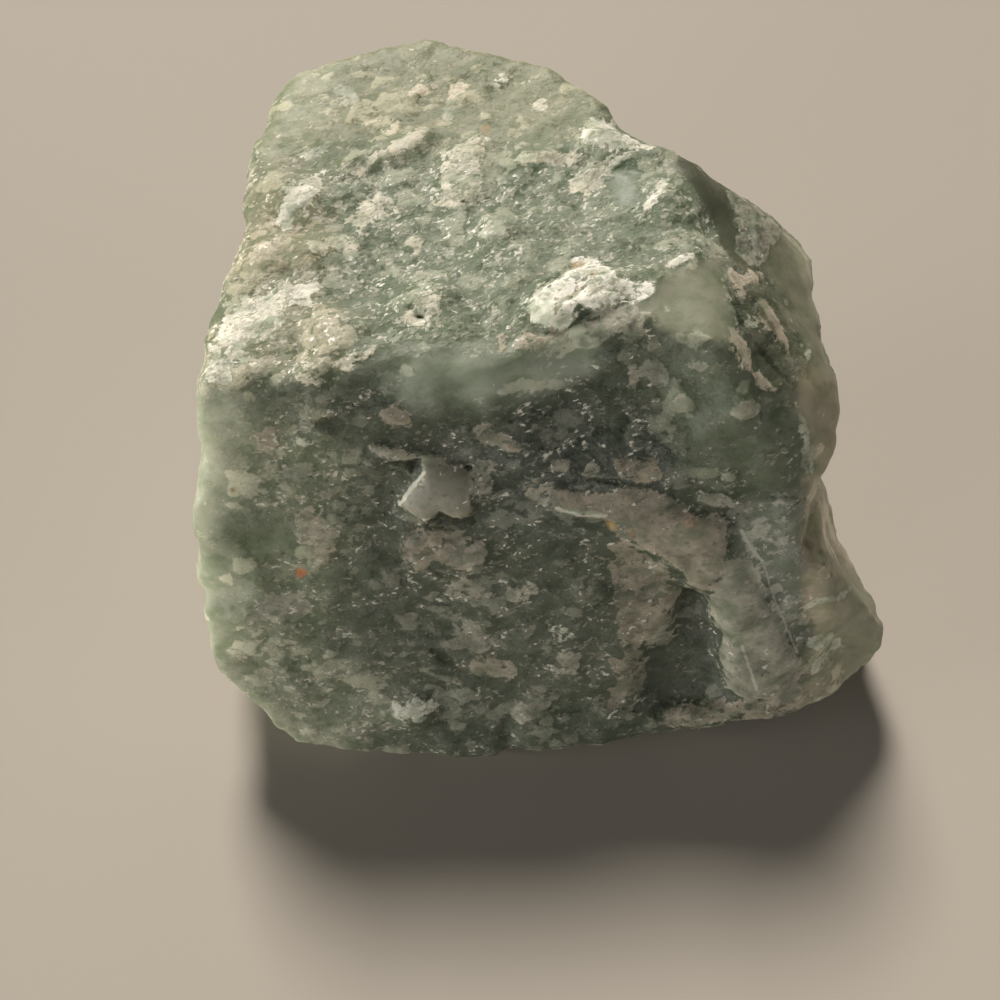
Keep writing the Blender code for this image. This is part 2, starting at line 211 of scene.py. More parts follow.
# The green body by the places it shows in the photo, laid one over another: how many pixels its
# edge fades over, its tone, how many white flecks it holds, and how smooth it is. Some tones are
# painted light, the glow of light through the stone's thin edges and under its ridge, and one dark
# band is painted shade.
ZONES = {
    "top": (25, (0.192, 0.224, 0.16), 0.9, 0.0, [
        (262, 60), (400, 38), (560, 70), (650, 140), (700, 180), (735, 260), (735, 345), (640, 325),
        (590, 318), (540, 345), (430, 352), (350, 372), (200, 385), (205, 330), (245, 180)]),
    "north": (30, (0.275, 0.285, 0.195), 0.5, 0.3, [
        (262, 120), (300, 50), (400, 36), (560, 68), (600, 130), (480, 150), (350, 150), (262, 170)]),
    "north_rim": (10, (0.27, 0.28, 0.19), 0.35, 0.55, [
        (290, 70), (300, 55), (345, 45), (400, 30), (450, 32), (520, 48), (580, 72), (608, 100), (592, 108),
        (540, 82), (480, 62), (420, 56), (350, 72), (305, 85)]),
    # Painted light: a paler tone for the glow through the back left corner.
    "north_west_glow": (18, (0.345, 0.36, 0.25), 0.35, 0.55, [
        (262, 150), (276, 90), (292, 60), (330, 56), (345, 75), (330, 110), (300, 140), (276, 165)]),
    "west_top": (25, (0.33, 0.32, 0.225), 0.65, 0.0, [(240, 180), (330, 175), (330, 265), (225, 300)]),
    "sugar": (14, (0.29, 0.29, 0.21), 1.0, 0.0, [
        (195, 390), (212, 325), (262, 277), (320, 275), (352, 330), (330, 368), (240, 385)]),
    "dark_hollow": (10, (0.16, 0.185, 0.13), 0.2, 0.7, oval(390, 366, 48, 10, 12)),
    "blue_patch": (8, (0.21, 0.25, 0.195), 0.15, 0.7, oval(628, 186, 17, 20)),
    # Painted light: a paler tone for the glow through the smooth corner by the east ridge.
    "east_corner": (10, (0.325, 0.33, 0.25), 0.12, 0.9, [
        (630, 311), (653, 298), (671, 270), (698, 262), (719, 252), (724, 299), (733, 338), (717, 345),
        (698, 338), (675, 334), (662, 331), (643, 320)]),
    "front": (14, (0.076, 0.087, 0.061), 0.6, 0.0, [
        (185, 392), (350, 376), (430, 362), (540, 352), (600, 318), (640, 322), (670, 338), (735, 346),
        (800, 400), (812, 560), (812, 720), (640, 760), (450, 765), (290, 745), (190, 650)]),
    # Painted light: its paler tone is the glow towards the left edge, where light comes through and around
    # it.
    "front_west_glow": (45, (0.175, 0.195, 0.134), 0.7, 0.1, [
        (180, 385), (330, 395), (350, 520), (330, 640), (350, 760), (180, 700)]),
    # Painted light: a pale glow along the left edge.
    "west_rim_glow": (30, (0.52, 0.54, 0.41), 0.1, 0.7, [
        (180, 385), (240, 392), (240, 480), (236, 540), (238, 600), (262, 690), (300, 745), (180, 700)]),
    "deep_green": (18, (0.132, 0.158, 0.098), 0.1, 0.4, oval(252, 538, 44, 26)),
    # Painted light: a pale green glow below the ridge, where light comes through it.
    "under_ridge_glow": (20, (0.325, 0.365, 0.287), 0.25, 0.85, [
        (385, 384), (430, 358), (500, 352), (560, 348), (600, 330), (590, 374), (545, 392), (480, 402),
        (410, 402)]),
    "bluish": (30, (0.072, 0.083, 0.067), 0.65, 0.0, oval(560, 470, 120, 60)),
    "low_middle": (35, (0.098, 0.109, 0.08), 0.6, 0.1, oval(500, 660, 120, 75)),
    "low_west": (30, (0.195, 0.21, 0.152), 0.7, 0.1, oval(320, 700, 90, 50, -20)),
    # Painted light: a pale glow along the lower left edge.
    "low_west_chamfer_glow": (16, (0.36, 0.37, 0.28), 0.25, 0.3, [
        (212, 655), (232, 662), (262, 690), (300, 722), (345, 738), (345, 752), (300, 745), (250, 705),
        (215, 680)]),
    "upper_east": (20, (0.112, 0.132, 0.088), 0.3, 0.3, [
        (640, 345), (730, 350), (795, 400), (800, 490), (700, 480), (660, 430)]),
    "blue_east": (12, (0.235, 0.25, 0.21), 0.55, 0.2, [
        (742, 505), (796, 500), (800, 600), (800, 650), (770, 590), (745, 560)]),
    "pit": (3, (0.076, 0.086, 0.064), 0.4, 0.2, [
        (688, 584), (695, 593), (706, 600), (713, 620), (727, 639), (715, 650), (719, 659), (729, 687),
        (741, 696), (692, 701), (660, 717), (642, 691), (647, 648), (670, 643), (676, 620), (679, 595)]),
    # Painted shade: a darker tone on the steep band that faces away from the light.
    "shaded_band": (4, (0.098, 0.105, 0.07), 0.15, 0.8, [
        (680, 152), (700, 158), (716, 173), (726, 186), (733, 203), (738, 223), (741, 246), (742, 268),
        (729, 268), (719, 243), (711, 223), (703, 206), (693, 188), (681, 170)]),
    "side": (10, (0.12, 0.125, 0.085), 0.3, 0.2, [
        (722, 262), (760, 262), (800, 345), (812, 400), (800, 400), (745, 345)]),
    "shoulder": (8, (0.195, 0.197, 0.137), 0.08, 0.8, [
        (764, 235), (781, 233), (798, 243), (811, 263), (820, 289), (824, 322), (826, 350), (814, 357),
        (799, 339), (789, 322), (783, 298), (770, 273)]),
    # Painted light: a pale rim where light grazes the shoulder's edge from behind.
    "shoulder_rim_glow": (4, (0.33, 0.32, 0.235), 0.05, 0.9, [
        (783, 230), (802, 240), (815, 262), (822, 300), (828, 350), (820, 350), (812, 300), (803, 262),
        (792, 246)]),
    "lobe": (10, (0.3, 0.268, 0.188), 0.1, 0.8, [
        (806, 372), (824, 362), (842, 390), (846, 430), (838, 470), (818, 464), (804, 430)]),
    "side_band": (10, (0.42, 0.37, 0.275), 0.2, 0.4, [
        (800, 480), (826, 470), (846, 520), (862, 570), (850, 610), (832, 645), (812, 645), (804, 600),
        (800, 560), (803, 520)]),
    # Painted light: a pale tone that lightens a recess which lies in the stone's shade.
    "recess_lightened": (6, (0.68, 0.62, 0.47), 0.1, 0.6, [
        (808, 512), (822, 505), (830, 520), (832, 545), (826, 560), (812, 556), (806, 535)]),
    "foot": (12, (0.25, 0.245, 0.175), 0.05, 0.9, [
        (836, 575), (860, 562), (884, 600), (890, 640), (872, 672), (838, 695), (830, 650)]),
    "foot_low": (12, (0.3, 0.285, 0.21), 0.3, 0.2, [
        (800, 660), (840, 650), (850, 690), (806, 715), (790, 705)]),
}

# Patches with torn edges: bruised crusts, thin flakes and stained grains, and two thin raised rims
# that carry painted highlights. Each has its tone, how far it stands out in millimetres, how torn it
# is, and its outline in the photo.
PATCHES = {
    "crust_veil": (SAND, 0.02, 1.9, streak(500, 350, 566, 330, 9)),
    "ridge_crust": ((0.93, 0.91, 0.82), 0.03, 0.9, [
        (526, 304), (538, 288), (561, 274), (574, 264), (595, 258), (607, 267), (625, 278), (655, 283),
        (657, 297), (648, 299), (632, 304), (620, 301), (607, 311), (595, 311), (577, 308), (570, 322),
        (547, 331), (529, 322)]),
    "crust_core": ((0.97, 0.91, 0.83), 0.03, 0.45, [
        (533, 319), (540, 303), (556, 294), (572, 289), (592, 284), (612, 286), (604, 300), (577, 303),
        (566, 317), (547, 327)]),
    "crust_foot": (GREY, 0.02, 1.6, [
        (590, 314), (612, 308), (632, 304), (646, 322), (640, 340), (610, 338), (585, 345)]),
    "saddle": (WHITE, 0.03, 1.2, [
        (584, 130), (598, 121), (612, 123), (622, 132), (640, 139), (664, 145), (640, 150), (615, 152),
        (603, 149), (590, 140)]),
    "saddle_line": (WHITE, 0.1, 0.25, streak(604, 172, 634, 150, 3)),
    "saddle_foot": (CREAM, 0.05, 1.3, oval(588, 181, 19, 12, 30)),
    "north_streak": (CREAM, 0.05, 0.6, streak(515, 160, 586, 157, 6)),
    "crescent": (WHITE, 0.08, 0.3, streak(645, 211, 664, 187, 4)),
    "crescent_2": (WHITE, 0.05, 0.3, streak(655, 190, 668, 178, 3)),
    "east_line": (WHITE, 0.1, 0.3, streak(668, 266, 700, 250, 5)),
    "east_line_2": (CREAM, 0.06, 0.2, streak(650, 250, 676, 240, 3)),
    "cream_bump": (CREAM, 0.08, 1.1, [
        (446, 160), (459, 145), (476, 137), (488, 142), (480, 158), (484, 176), (478, 196), (462, 200),
        (444, 198), (438, 186)]),
    "cream_bump_foot": (CREAM, 0.08, 1.2, streak(430, 208, 482, 198, 4)),
    "ridge_line": (CREAM, 0.06, 0.6, streak(355, 173, 430, 129, 6)),
    "left_white": (WHITE, 0.1, 1.4, [
        (278, 226), (276, 205), (286, 188), (304, 178), (320, 171), (318, 198), (306, 214), (293, 228)]),
    "left_cream": (CREAM, 0.08, 1.4, [
        (345, 232), (352, 214), (372, 200), (391, 195), (388, 212), (376, 224), (360, 238)]),
    "left_cream_2": (CREAM, 0.05, 1.3, [(310, 240), (336, 236), (366, 244), (352, 254), (318, 252)]),
    "beige_west": (BEIGE, 0.06, 1.4, [
        (246, 268), (252, 246), (276, 236), (298, 240), (292, 258), (274, 272), (256, 278)]),
    "grey_flake": (PALE, 0.1, 0.7, oval(496, 231, 16, 12, 30)),
    "mid_crust": (CREAM, 0.06, 1.3, [
        (407, 312), (414, 298), (430, 293), (446, 302), (440, 318), (424, 327), (410, 326)]),
    "lip": (CREAM, 0.15, 1.0, [
        (296, 381), (310, 371), (328, 362), (350, 352), (376, 347), (371, 357), (350, 366), (330, 374),
        (312, 384)]),
    "sugar_bright": (WHITE, 0.05, 1.8, [
        (205, 360), (213, 338), (226, 318), (246, 300), (270, 288), (300, 281), (318, 288), (304, 304),
        (286, 318), (270, 334), (254, 348), (238, 362), (222, 374), (208, 378)]),
    "round_flake": ((0.4, 0.375, 0.285), 0.12, 0.5, oval(328, 330, 12, 16, -10)),
    "bead": (CREAM, 0.15, 0.4, oval(414, 243, 7, 8)),
    "blotch_1": (WARM, 0.05, 1.0, oval(421, 92, 13, 8, 20)),
    "blotch_2": (WARM, 0.05, 1.0, oval(455, 88, 10, 7, 10)),
    "blotch_3": (WARM, 0.05, 1.0, oval(370, 118, 13, 5, 5)),
    "blotch_4": (PALE, 0.05, 1.0, oval(347, 94, 9, 8, 20)),
    "blotch_5": (WHITE, 0.05, 1.0, oval(501, 84, 9, 6, 30)),
    "blotch_6": (WARM, 0.05, 1.0, oval(393, 128, 9, 5, 15)),
    "blotch_7": (PALE, 0.05, 1.0, oval(318, 152, 14, 6, 30)),
    "blotch_8": (CREAM, 0.05, 1.0, oval(540, 104, 10, 4, 10)),
    "blotch_9": (PALE, 0.05, 1.0, oval(448, 112, 9, 5, 30)),
    "west_patch": ((0.37, 0.34, 0.275), 0.12, 0.8, [
        (291, 518), (309, 509), (325, 521), (339, 534), (337, 551), (323, 562), (314, 553), (307, 541),
        (298, 536)]),
    "group": ((0.265, 0.239, 0.19), 0.07, 1.3, [
        (401, 539), (422, 530), (449, 525), (465, 541), (488, 551), (486, 564), (463, 576), (445, 564),
        (426, 567), (413, 562), (403, 555)]),
    "lens": (PINK, 0.12, 0.6, oval(397, 417, 17, 8, -20)),
    "low_lens": (GREY, 0.15, 0.6, [
        (370, 446), (384, 446), (400, 449), (420, 456), (404, 461), (390, 463), (378, 456)]),
    "west_bead": (PINK, 0.1, 0.8, oval(266, 441, 13, 13)),
    "layer_arm": ((0.262, 0.237, 0.188), 0.06, 0.55, [
        (545, 486), (565, 491), (590, 494), (617, 490), (650, 485), (672, 500), (690, 515), (722, 512),
        (728, 530), (730, 556), (716, 586), (700, 592), (689, 583), (668, 563), (650, 553), (637, 545),
        (632, 530), (612, 520), (583, 515), (560, 511), (548, 500)]),
    "layer_dome": (BROWN, 0.06, 0.9, oval(640, 472, 24, 13, -15)),
    "brown_tail": (BROWN, 0.03, 2.2, [
        (606, 534), (622, 528), (640, 548), (672, 566), (682, 590), (676, 618), (668, 640), (646, 645),
        (641, 672), (636, 700), (612, 706), (618, 672), (624, 640), (616, 606)]),
    "low_blob": (GREY, 0.12, 1.1, oval(474, 637, 10, 18, 8)),
    "low_blob_2": (PINK, 0.1, 1.2, oval(492, 667, 20, 10, -15)),
    "low_blob_3": (GREY, 0.08, 1.2, oval(566, 662, 12, 14, 20)),
    "bottom_strip": (PINK, 0.06, 1.1, [
        (655, 722), (665, 712), (690, 703), (720, 699), (745, 700), (770, 694), (803, 690), (806, 706),
        (780, 716), (740, 720), (700, 727), (665, 730)]),
    "side_grey": (GREY, 0.08, 0.9, [
        (723, 186), (744, 192), (764, 210), (783, 232), (772, 248), (766, 262), (756, 268), (744, 262),
        (739, 240), (735, 215), (728, 200)]),
    "side_grey_edge": (PALE, 0.06, 0.2, streak(750, 212, 755, 256, 3)),
    "side_streak_1": (SAND, 0.12, 0.35, streak(729, 266, 744, 296, 5)),
    "side_knot": (SAND, 0.12, 0.5, oval(752, 278, 8, 6)),
    "side_streak_2": (SAND, 0.12, 0.35, streak(758, 300, 789, 352, 7)),
    "side_streak_3": (SAND, 0.12, 0.35, streak(730, 325, 750, 371, 6)),
    "side_streak_4": (SAND, 0.12, 0.35, streak(752, 372, 776, 392, 4)),
    "side_streak_5": (PALE, 0.1, 0.5, streak(744, 309, 758, 330, 2.5)),
    "side_streak_6": (PALE, 0.1, 0.5, streak(803, 345, 810, 362, 3)),
    "side_line": (PALE, 0.1, 0.2, streak(800, 412, 812, 470, 3)),
    "side_chip": (PINK, 0.1, 0.8, oval(832, 555, 11, 14, -20)),
    "band_pink": ((0.37, 0.32, 0.245), 0.04, 0.4, streak(820, 512, 835, 566, 6)),
    "foot_fold": (PALE, 0.05, 0.2, [
        (800, 616), (806, 604), (822, 600), (838, 596), (851, 586), (852, 589), (840, 600), (824, 604),
        (810, 608), (803, 618)]),
    "star": ((0.245, 0.237, 0.192), 0.22, 0.08, [
        (423, 455), (435, 455), (451, 465), (467, 469), (476, 487), (467, 496), (472, 510), (462, 518),
        (439, 511), (423, 522), (400, 504), (410, 489), (422, 482)]),
    # Painted highlight: the pale lit rim on the star's lower left edge, raised a little too.
    "star_highlight_rim": (PALE, 0.26, 0.1, streak(424, 474, 400, 503, 2)),
    "star_arm": (GREY, 0.08, 1.0, [
        (474, 470), (486, 460), (494, 462), (492, 478), (480, 490), (474, 484)]),
    # Painted highlight: the pale lit rim along the layer's lower edge.
    "layer_highlight_rim": (PALE, 0.12, 0.15, streak(558, 510, 606, 514, 2)),
    "star_skirt": (GREY, 0.08, 1.4, oval(482, 480, 12, 18, 10)),
    "bottom_flake": ((0.5, 0.5, 0.43), 0.18, 0.8, oval(417, 709, 24, 10, 4)),
    "small_white": (PALE, 0.15, 0.5, oval(305, 441, 9, 6, -15)),
    "white_west": (GREY, 0.08, 1.3, oval(295, 473, 14, 8, 25)),
    "white_mid": (GREY, 0.12, 1.0, oval(519, 590, 15, 9, 15)),
    "white_low": (PALE, 0.12, 0.8, oval(562, 630, 6, 8, 20)),
    "pearl": (GREY, 0.25, 0.2, oval(729, 476, 7, 6)),
    "round_east": (GREY, 0.15, 0.4, oval(683, 403, 9, 9)),
    "round_far_east": (GREY, 0.15, 0.5, oval(745, 410, 15, 10, 10)),
    "east_flake": (GREY, 0.15, 0.6, oval(715, 500, 17, 7, -12)),
    "layer_east": ((0.262, 0.256, 0.208), 0.06, 0.5, [
        (716, 586), (730, 556), (748, 560), (758, 577), (768, 600), (782, 625), (797, 655), (803, 668),
        (800, 695), (765, 702), (738, 698), (722, 672), (717, 648), (726, 639), (716, 624), (707, 598)]),
    "layer_facet": ((0.31, 0.285, 0.225), 0.07, 0.5, [
        (668, 526), (678, 520), (690, 524), (694, 536), (688, 549), (676, 550), (670, 540)]),
    "layer_blush": ((0.36, 0.26, 0.19), 0.03, 0.9, oval(691, 523, 5, 6)),
    "layer_shade": ((0.205, 0.188, 0.148), 0.02, 0.8, oval(716, 556, 12, 7)),
    "layer_fold": ((0.36, 0.335, 0.27), 0.08, 0.3, streak(650, 500, 668, 516, 2)),
    "layer_fold_2": ((0.36, 0.335, 0.27), 0.08, 0.3, streak(694, 556, 712, 577, 2)),
    "layer_fold_3": ((0.33, 0.33, 0.27), 0.06, 0.2, streak(714, 612, 754, 607, 1.5)),
    "layer_fold_4": ((0.33, 0.33, 0.27), 0.06, 0.3, streak(724, 642, 762, 630, 2)),
    "foot_knob": ((0.42, 0.385, 0.315), 0.15, 0.5, oval(772, 699, 9, 6)),
    "tail_flake": (GREY, 0.1, 0.6, [
        (648, 640), (658, 630), (668, 622), (672, 634), (664, 644), (654, 646)]),
    "group_east": ((0.295, 0.275, 0.23), 0.08, 0.9, [
        (452, 552), (458, 543), (470, 541), (488, 551), (486, 564), (470, 574), (458, 568)]),
    "group_west": ((0.235, 0.205, 0.165), 0.03, 1.1, oval(420, 546, 14, 8)),
    "flake_north_1": (GREY, 0.08, 0.8, oval(560, 466, 11, 5)),
    "flake_north_2": (GREY, 0.08, 0.9, oval(591, 468, 7, 8)),
    "flake_north_3": ((0.27, 0.25, 0.2), 0.06, 1.0, [
        (476, 428), (492, 422), (508, 436), (524, 446), (526, 453), (505, 450), (485, 440)]),
    "flake_east_1": ((0.205, 0.21, 0.17), 0.05, 0.6, oval(655, 372, 17, 11, -30)),
    "flake_east_2": ((0.22, 0.22, 0.18), 0.08, 0.8, streak(684, 366, 706, 366, 4)),
    "flake_east_3": (GREY, 0.06, 1.5, oval(631, 384, 9, 8)),
    "flake_west_1": ((0.31, 0.32, 0.26), 0.06, 1.5, oval(303, 420, 8, 14)),
    "flake_west_2": (GREY, 0.08, 1.0, oval(324, 494, 9, 6)),
    "flake_west_3": ((0.4, 0.36, 0.29), 0.05, 0.7, oval(265, 671, 5, 6)),
    "scratch": (PALE, 0.05, 0.12, streak(741, 530, 760, 562, 2.5)),
    "scratch_low": (PALE, 0.05, 0.12, streak(748, 562, 768, 594, 2)),
    "scratch_end": (PALE, 0.05, 0.12, streak(772, 602, 785, 622, 2)),
    "ledge_line": (GREY, 0.15, 0.3, streak(420, 668, 464, 685, 3)),
    "foot_chips": (PALE, 0.12, 1.0, oval(826, 642, 14, 6)),
    "foot_chips_2": (PALE, 0.12, 0.9, oval(818, 662, 5, 11, -30)),
    "group_low": (GREY, 0.05, 2.0, oval(280, 608, 30, 17, 10)),
    "bottom_east": (GREY, 0.08, 1.4, oval(532, 708, 24, 12, 8)),
    "south_grey": (GREY, 0.08, 1.4, oval(470, 590, 24, 8, -5)),
    "arm_head": (GREY, 0.1, 1.2, oval(540, 492, 16, 8, -25)),
}

# Thin pale edges that broken sheets show in the photo, most of them painted highlights where light
# catches an edge, and one pale vein: half their width in pixels, their tone, and the points they run
# through. Then how many pixels they wobble, and half of what they fade over.
LIT_EDGES_AND_VEIN = {
    "star_edge": (1.7, (0.62, 0.6, 0.51), [(424, 473), (411, 489), (400, 504)]),
    "layer_glint": (1.8, (0.52, 0.54, 0.49), [(741, 530), (752, 549), (763, 562)]),
    "layer_edge": (1.2, (0.42, 0.42, 0.36), [(763, 562), (774, 598), (797, 652)]),
    "arm_edge": (1.3, (0.48, 0.47, 0.4), [(556, 508), (583, 516), (606, 516)]),
    "layer_vein": (1.6, (0.42, 0.42, 0.35), [(742, 646), (757, 690)]),
    "shoulder_edge": (1.7, (0.42, 0.41, 0.315), [(772, 220), (805, 254), (817, 300), (822, 338)]),
}
LINE_WOBBLE = 2.5
LINE_EDGE = 0.6

# Hollows and grooves in the photo, with how far they sink in millimetres; the shader also darkens them,
# which is painted shade.
SHADED_HOLLOWS = {
    "star_shadow": (0.3, [
        (424, 524), (438, 514), (460, 520), (474, 516), (476, 524), (452, 530), (430, 530)]),
    "star_notch": (0.3, streak(408, 474, 421, 458, 4)),
    "lens_shadow": (0.25, streak(382, 464, 424, 462, 2.5)),
    "crack": (0.15, streak(772, 498, 808, 498, 1.5)),
    "group_shadow": (0.2, streak(430, 572, 460, 580, 3)),
    "low_hollow": (0.2, oval(442, 658, 16, 6, -30)),
    "south_hollow": (0.1, oval(330, 425, 16, 10)),
    "layer_notch": (0.2, streak(590, 479, 642, 486, 4)),
    "crust_fold": (0.12, [
        (553, 311), (560, 299), (575, 292), (586, 284), (588, 286), (577, 295), (563, 302), (556, 312)]),
    "crust_fold_2": (0.12, [(586, 296), (600, 287), (618, 290), (617, 292), (601, 290), (588, 298)]),
    "crust_fold_3": (0.12, streak(570, 284, 606, 272, 1.2)),
    "crust_pit": (0.3, oval(410, 306, 4, 3)),
    "crust_pit_2": (0.3, oval(421, 316, 5, 2)),
    "ridge_groove": (0.15, streak(524, 298, 574, 264, 2.5)),
    "side_groove": (0.08, streak(748, 290, 790, 360, 2.5)),
    "side_groove_2": (0.08, streak(724, 275, 745, 330, 3)),
    "side_groove_3": (0.08, streak(752, 340, 792, 385, 3)),
    "cream_notch": (0.2, oval(466, 202, 5, 2)),
}

# The outline that the stone shows the photo's camera: a point of it in the photo, and how many
# pixels to the right and down the stone's edge there moves to meet it. Past PULL_REACH pixels from
# all points nothing moves, and PULL_SPREAD is how far one point's move is felt.
EDGE_PULLS = [
    (275, 100, -1, -1), (303, 72, -1, -1), (340, 60, 0, 0), (368, 50, 0, -1), (405, 40, 0, 0),
    (445, 43, 0, 0), (500, 56, 0, -1), (530, 64, 1, -5), (548, 67, 3, -8), (560, 74, 3, -4),
    (575, 86, 1, -1), (603, 104, 1, -1), (622, 128, -7, 5), (630, 136, -7, 10), (645, 143, -4, 12),
    (662, 148, -2, 8), (675, 154, -2, 3), (690, 160, 2, -4), (705, 171, 4, -4), (722, 184, 6, -7),
    (740, 196, 3, -6), (772, 217, 2, -4), (798, 240, -2, 1), (812, 270, 4, -1), (819, 315, 0, 0),
    (826, 345, -2, 0), (829, 362, -7, 3), (836, 375, -3, 1), (840, 392, -7, 1), (841, 415, -6, 0),
    (832, 455, -2, -1), (828, 485, 0, 0), (832, 505, -9, 2), (839, 530, -19, 6),
    (847, 550, -19, 8), (857, 573, -17, 8), (866, 590, -13, 8), (875, 605, -7, 3),
    (882, 635, 0, 0), (878, 648, 4, 2), (868, 660, -7, -7), (857, 667, -14, -15),
    (848, 678, -9, -8), (838, 688, -6, -7), (825, 698, -5, -6), (808, 707, 0, -10),
    (802, 704, -9, -15), (800, 712, -3, -5), (785, 716, -1, -10), (760, 719, -1, -6),
    (730, 722, -1, -5), (700, 728, -1, -6), (675, 730, -1, -11), (650, 733, -2, -10),
    (620, 739, -1, -8), (590, 744, -1, -8), (560, 748, -1, -7), (530, 750, -1, -5),
    (470, 757, 0, 6), (400, 753, 0, 0), (345, 749, 0, 4), (310, 743, -1, 2), (280, 728, 3, -4),
    (265, 712, 6, -6), (250, 697, 9, -10), (235, 684, 5, -6), (222, 673, 0, 0), (214, 658, 6, -2),
    (210, 645, 11, -2), (208, 630, 11, -2), (204, 610, 8, -1), (198, 560, -3, 0),
    (192, 525, -5, 1), (191, 512, -6, 0), (194, 500, 2, 0), (199, 470, 1, 0), (199, 440, 4, 0),
    (197, 420, 7, 0), (196, 400, 6, 0), (201, 368, 4, 1), (208, 330, -5, -1), (220, 295, -1, -1),
    (237, 250, 0, 0), (247, 190, -7, -1), (249, 165, -12, -2), (253, 150, -10, -4),
    (266, 128, 1, 0),
]
PULL_REACH = 45
PULL_SPREAD = 14

# Soft swells of the body in the photo, with how far they rise towards the camera in millimetres and
# the pixels that their edges fade over.
SWELLS = {
    "pit": (-0.1, 3, ZONES["pit"][-1]),
    "crust_foot": (0.55, 6, [
        (536, 316), (550, 306), (568, 300), (590, 292), (612, 290), (618, 300), (600, 308), (580, 306),
        (571, 320), (549, 329), (536, 324)]),
    "foot_recess": (2.4, 9, [
        (812, 494), (826, 496), (838, 520), (846, 556), (838, 568), (818, 560), (812, 530)]),
    "side_fill": (0.6, 22, [
        (738, 300), (758, 290), (778, 330), (792, 372), (782, 396), (764, 384), (748, 348)]),
}

# Where the photo's stone is rounder than the CAD's facets: the pixels that the smoothing's edge
# fades over, and its outline. Then how many times it smooths.
SOFTENED = {
    "east_fold": (12, [
        (704, 150), (735, 160), (790, 215), (800, 300), (806, 380), (792, 410), (765, 402), (745, 352),
        (728, 280), (716, 220)]),
    "east_corner": (12, [
        (655, 300), (690, 266), (720, 255), (738, 300), (738, 345), (700, 342), (660, 332)]),
    "pit_floor": (8, [(640, 688), (745, 682), (748, 700), (640, 714)]),
    "top_tip": (6, oval(402, 40, 14, 8)),
    "foot_recess": (12, [
        (800, 470), (835, 462), (880, 540), (880, 590), (850, 600), (815, 590), (800, 540)]),
}
SOFTENING = 200

# Iron stains in the photo, with their tones.
STAINS = {
    "orange": (RUST, oval(302, 572, 6, 5)),
    "layer_rust": (AMBER, oval(612, 526, 7, 4, -40)),
    "layer_rust_2": (RUST, oval(632, 533, 2, 4)),
    "crust_rust": (AMBER, oval(595, 272, 3, 3)),
    "crust_brown": (AMBER, oval(578, 266, 8, 3, 10)),
    "beige_dot": (AMBER, oval(286, 246, 3, 2)),
    "beige_dot_2": (AMBER, oval(279, 270, 2, 2)),
    "lens_dot": (AMBER, oval(407, 421, 2.5, 2.5)),
    "north_amber": (AMBER, oval(487, 130, 5, 4)),
    "west_amber": (AMBER, oval(236, 490, 6, 3)),
    "black_dot": (SOOT, oval(222, 443, 2, 2)),
}


# ---- camera, floor and light

def make_camera():
    data = bpy.data.cameras.new("camera")
    data.lens = LENS
    data.sensor_width = SENSOR
    data.clip_start = 0.01
    data.clip_end = 50
    camera = bpy.data.objects.new("camera", data)
    camera.location = CAMERA_PLACE
    camera.rotation_euler = (math.radians(90 - CAMERA_PITCH), 0, 0)
    bpy.context.scene.collection.objects.link(camera)
    bpy.context.scene.camera = camera


def add_light(name, towards, width, strength, colour):
    data = bpy.data.lights.new(name, "SUN")
    data.angle = math.radians(width)
    data.energy = strength
    data.color = colour
    light = bpy.data.objects.new(name, data)
    light.rotation_euler = Vector(towards).to_track_quat("Z", "Y").to_euler()
    bpy.context.scene.collection.objects.link(light)


def make_stage():
    bpy.ops.mesh.primitive_plane_add(size=8)
    floor = bpy.context.object
    floor.name = "floor"
    material = bpy.data.materials.new("pale_floor")
    material.use_nodes = True
    shader = material.node_tree.nodes["Principled BSDF"]
    shader.inputs["Base Color"].default_value = FLOOR
    shader.inputs["Roughness"].default_value = FLOOR_ROUGHNESS
    floor.data.materials.append(material)
    world = bpy.data.worlds.new("soft_room")
    bpy.context.scene.world = world
    world.use_nodes = True
    background = world.node_tree.nodes["Background"]
    background.inputs["Color"].default_value = ROOM
    background.inputs["Strength"].default_value = ROOM_STRENGTH
    for name, light in LIGHTS.items():
        add_light(name, *light)
    bpy.context.scene.view_settings.view_transform = "Standard"


# ---- the stone's mesh

def applied(obj):
    """The object with its modifiers in its mesh."""
    mesh = bpy.data.meshes.new_from_object(obj.evaluated_get(bpy.context.evaluated_depsgraph_get()))
    obj.modifiers.clear()
    obj.data = mesh
    return obj


def smooth_skin():
    """The CAD stone as a fine even mesh without its facets."""
    bm = bmesh.new()
    bm.from_mesh(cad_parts["aventurine"].data)
    bmesh.ops.remove_doubles(bm, verts=bm.verts, dist=1e-6)
    mesh = bpy.data.meshes.new("stone")
    bm.to_mesh(mesh)
    bm.free()
    stone = bpy.data.objects.new("stone", mesh)
    bpy.context.scene.collection.objects.link(stone)
    rounded = stone.modifiers.new("rounded", "SUBSURF")
    rounded.levels = rounded.render_levels = 2
    skin = stone.modifiers.new("skin", "REMESH")
    skin.mode = "VOXEL"
    skin.voxel_size = SKIN_VOXEL
    even = stone.modifiers.new("even", "SMOOTH")
    even.factor = 0.5
    even.iterations = SMOOTHING
    return applied(stone)


def read_vertices(mesh):
    """Places in millimetres and normals, as arrays."""
    count = len(mesh.vertices)
    places = np.zeros(count * 3, np.float32)
    normals = np.zeros(count * 3, np.float32)
    mesh.vertices.foreach_get("co", places)
    mesh.vertices.foreach_get("normal", normals)
    return places.reshape(-1, 3).astype(float) / MM, normals.reshape(-1, 3).astype(float)


def write_places(mesh, places):
    mesh.vertices.foreach_set("co", (places * MM).astype(np.float32).ravel())
    mesh.update()


